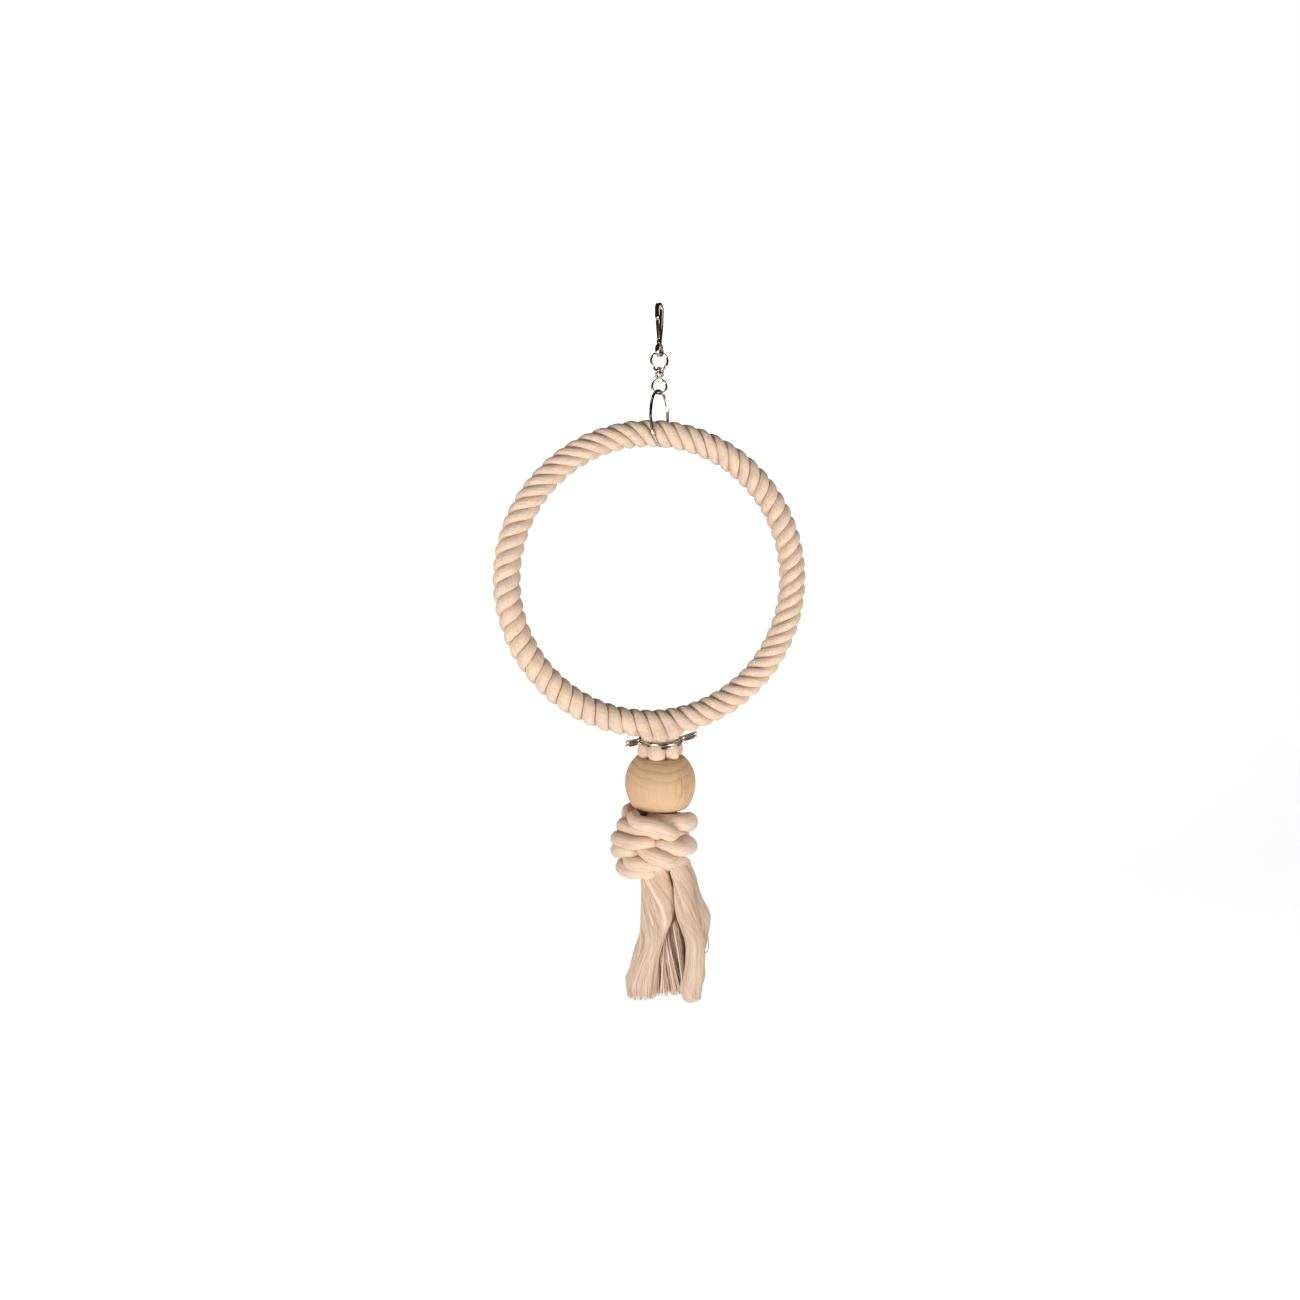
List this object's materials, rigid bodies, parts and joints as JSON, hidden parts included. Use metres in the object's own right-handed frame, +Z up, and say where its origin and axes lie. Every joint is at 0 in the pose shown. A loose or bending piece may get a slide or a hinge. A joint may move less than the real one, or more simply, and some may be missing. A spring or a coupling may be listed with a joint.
{
  "type": "bird perch",
  "caption": "Hanging ring perch of laid cotton rope on a wire swivel and snap hook, with a bound neck, a turning wooden bead, a knot and a frayed tassel.",
  "frame": {"origin": "centre of the snap hook's crook, on the axis of the bar that it hangs from", "axes": "+Z up, +X to the right of the ring's face, +Y away from the viewer, square to the ring"},
  "size_m": [0.254, 0.065, 0.5472],
  "materials": {
    "nickel": "bright nickel plate",
    "spring_steel": "bright nickel plate",
    "hoop_steel": "drawn wire",
    "cotton": "natural laid cotton rope",
    "tassel_cotton": "natural loose cotton yarn",
    "wood": "sanded, unlacquered"
  },
  "bodies": {
    "hook": {"hook_body": "nickel", "gate_rivet": "nickel"},
    "gate": {"hook_gate": "spring_steel"},
    "swivel_top": {"upper_eye": "nickel"},
    "swivel_foot": {"lower_eye": "nickel"},
    "ring": {"hanger_loop": "nickel", "core_ring": "hoop_steel", "ring_strand_1": "cotton", "ring_strand_2": "cotton", "ring_strand_3": "cotton", "binding_ring": "nickel", "knot_core": "cotton", "knot_strand_1": "cotton", "knot_strand_2": "cotton", "knot_strand_3": "cotton", "knot_strand_4": "cotton", "knot_strand_5": "cotton", "knot_strand_6": "cotton", "tassel_bundle_1": "tassel_cotton", "tassel_bundle_2": "tassel_cotton", "tassel_bundle_3": "tassel_cotton", "tassel_bundle_4": "tassel_cotton", "tassel_bundle_5": "tassel_cotton", "tassel_bundle_6": "tassel_cotton"},
    "bead": {"wooden_bead": "wood"}
  },
  "joints": [
    {"name": "gate_flex", "type": "hinge", "parent": "hook", "child": "gate", "pos_m": [-0.00075, -0.00106, -0.0237], "axis": [0.8192, -0.5736, 0], "range_deg": [-14, 0], "stiffness_Nm_per_rad": 0.02},
    {"name": "eye_swing", "type": "hinge", "parent": "hook", "child": "swivel_top", "pos_m": [0, 0, -0.03725], "axis": [0.5736, 0.8192, 0], "range_deg": [-25, 25]},
    {"name": "swivel_turn", "type": "hinge", "parent": "swivel_top", "child": "swivel_foot", "pos_m": [0, 0, -0.05135], "axis": [0, 0, 1], "continuous": true},
    {"name": "hanger_swing", "type": "hinge", "parent": "swivel_foot", "child": "ring", "pos_m": [0, 0, -0.06765], "axis": [1, 0, 0], "range_deg": [-30, 30]},
    {"name": "bead_turn", "type": "hinge", "parent": "ring", "child": "bead", "pos_m": [0.0008, 0, -0.37845], "axis": [0, 0, 1], "continuous": true}
  ]
}
